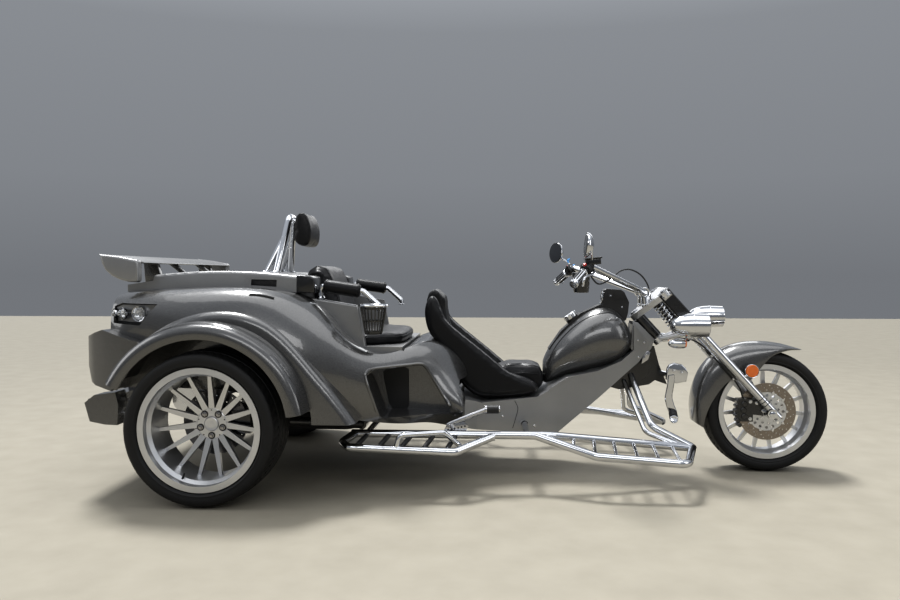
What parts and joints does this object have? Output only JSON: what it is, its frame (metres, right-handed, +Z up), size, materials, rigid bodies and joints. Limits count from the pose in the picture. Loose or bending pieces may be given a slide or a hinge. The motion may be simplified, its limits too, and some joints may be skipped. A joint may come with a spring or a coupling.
{
  "type": "motor trike",
  "caption": "Motor trike with a low bucket seat ahead of a raised passenger bench, a boot under the rear deck, ladder footboards and a raked fork with a pulled-back handlebar.",
  "frame": {"origin": "on the ground, midway along the length and on the centre line", "axes": "+X ahead, +Y to the rider's left, +Z up"},
  "size_m": [3.5999, 1.76, 1.338],
  "materials": {
    "body_paint": "metallic gloss",
    "satin_panel": "satin",
    "black_trim": "matte",
    "frame_black": "satin",
    "chrome": "mirror polished",
    "wheel_alloy": "satin",
    "disc_steel": "turned",
    "engine_metal": "rough",
    "tyre_rubber": "matte",
    "grip_rubber": "matte",
    "seat_leather": "satin"
  },
  "bodies": {
    "chassis": {"rear_body": "body_paint", "flares": "body_paint", "rear_deck": "satin_panel", "tail_lamps": "chrome", "bumpers": "body_paint", "passenger_shell": "satin_panel", "passenger_bench": "seat_leather", "passenger_backrest": "seat_leather", "headrest_bar": "chrome", "headrest_pad": "seat_leather", "armrests": "chrome", "armrest_pads": "seat_leather", "cup_holder": "frame_black", "spine_cover": "satin_panel", "tank": "body_paint", "tank_console": "black_trim", "driver_seat": "seat_leather", "main_frame": "frame_black", "engine_block": "engine_metal", "exhaust": "chrome", "rear_axle": "frame_black", "footboard_right": "chrome", "footboard_left": "chrome", "levers": "wheel_alloy"},
    "fork": {"fork_legs": "chrome", "fork_yokes": "wheel_alloy", "fork_spring": "frame_black", "handlebar": "chrome", "hand_controls": "grip_rubber", "mirrors": "chrome", "front_lamps": "chrome", "front_fender": "body_paint", "front_caliper": "frame_black"},
    "boot_lid": {"boot_lid": "satin_panel", "spoiler": "body_paint"},
    "front_wheel": {"front_rim": "wheel_alloy", "front_tyre": "tyre_rubber", "front_disc": "disc_steel"},
    "rear_wheel_right": {"rear_rim_right": "wheel_alloy", "rear_tyre_right": "tyre_rubber", "rear_disc_right": "disc_steel"},
    "rear_wheel_left": {"rear_rim_left": "wheel_alloy", "rear_tyre_left": "tyre_rubber", "rear_disc_left": "disc_steel"}
  },
  "joints": [
    {"name": "steering", "type": "hinge", "parent": "chassis", "child": "fork", "pos_m": [1.37941, 0, 0.20866], "axis": [-0.6756, 0, 0.7373], "range_deg": [-30, 30]},
    {"name": "front_wheel_spin", "type": "hinge", "parent": "fork", "child": "front_wheel", "pos_m": [1.49, 0, 0.31], "axis": [0, 1, 0], "continuous": true},
    {"name": "rear_wheel_right_spin", "type": "hinge", "parent": "chassis", "child": "rear_wheel_right", "pos_m": [-1.17, -0.7325, 0.34], "axis": [0, 1, 0], "continuous": true},
    {"name": "rear_wheel_left_spin", "type": "hinge", "parent": "chassis", "child": "rear_wheel_left", "pos_m": [-1.17, 0.7325, 0.34], "axis": [0, 1, 0], "continuous": true},
    {"name": "boot_lid_swing", "type": "hinge", "parent": "chassis", "child": "boot_lid", "pos_m": [-1.128, 0, 1.024], "axis": [0, 1, 0], "range_deg": [0, 55]}
  ]
}
